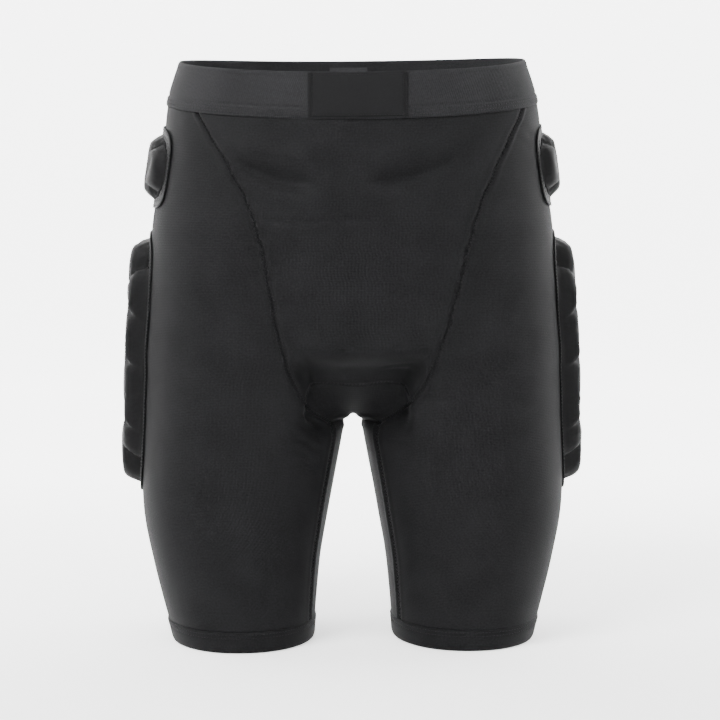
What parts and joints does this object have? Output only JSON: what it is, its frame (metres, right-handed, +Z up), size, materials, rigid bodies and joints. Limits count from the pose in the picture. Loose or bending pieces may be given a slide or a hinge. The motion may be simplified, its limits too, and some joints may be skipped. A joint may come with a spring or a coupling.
{
  "type": "padded impact shorts",
  "caption": "Knee-length compression shorts with a woven elastic waistband and celled foam impact pads sewn over hips, outer thighs and tailbone.",
  "frame": {"origin": "centre of the shorts' box, on the plane the two hems stand on", "axes": "+Z up towards the waist, -Y the way the wearer faces, +X the wearer's left"},
  "size_m": [0.3882, 0.2526, 0.4966],
  "materials": {
    "knit": "fine warp knit, matt with a faint sheen",
    "elastic": "woven elastic with fine vertical ribs",
    "patch": "tightly woven badge cloth with stitched ends",
    "cover": "smooth stretch cloth over foam, slight sheen",
    "backing": "plain dull cloth",
    "foam": "closed cell foam, matt",
    "label": "satin label tape"
  },
  "bodies": {
    "root": {"front_panel": "knit", "seat_panel": "knit", "crotch_gusset": "knit", "waistband": "elastic", "waistband_patch": "patch", "care_label": "label", "left_leg_panel": "knit", "left_inner_thigh_panel": "knit", "left_hem": "knit", "left_hip_pad_backing": "backing", "left_hip_pad_cover": "cover", "left_hip_pad_foam": "foam", "left_thigh_pad_backing": "backing", "left_thigh_pad_cover": "cover", "left_thigh_pad_foam_1a": "foam", "left_thigh_pad_foam_1b": "foam", "left_thigh_pad_foam_2a": "foam", "left_thigh_pad_foam_2b": "foam", "left_thigh_pad_foam_3a": "foam", "left_thigh_pad_foam_3b": "foam", "left_thigh_pad_foam_4a": "foam", "left_thigh_pad_foam_4b": "foam", "right_leg_panel": "knit", "right_inner_thigh_panel": "knit", "right_hem": "knit", "right_hip_pad_backing": "backing", "right_hip_pad_cover": "cover", "right_hip_pad_foam": "foam", "right_thigh_pad_backing": "backing", "right_thigh_pad_cover": "cover", "right_thigh_pad_foam_1a": "foam", "right_thigh_pad_foam_1b": "foam", "right_thigh_pad_foam_2a": "foam", "right_thigh_pad_foam_2b": "foam", "right_thigh_pad_foam_3a": "foam", "right_thigh_pad_foam_3b": "foam", "right_thigh_pad_foam_4a": "foam", "right_thigh_pad_foam_4b": "foam", "tailbone_pad_backing": "backing", "tailbone_pad_cover": "cover", "tailbone_pad_foam_1a": "foam", "tailbone_pad_foam_1b": "foam", "tailbone_pad_foam_2a": "foam", "tailbone_pad_foam_2b": "foam", "tailbone_pad_foam_3a": "foam", "tailbone_pad_foam_3b": "foam"}
  },
  "joints": []
}
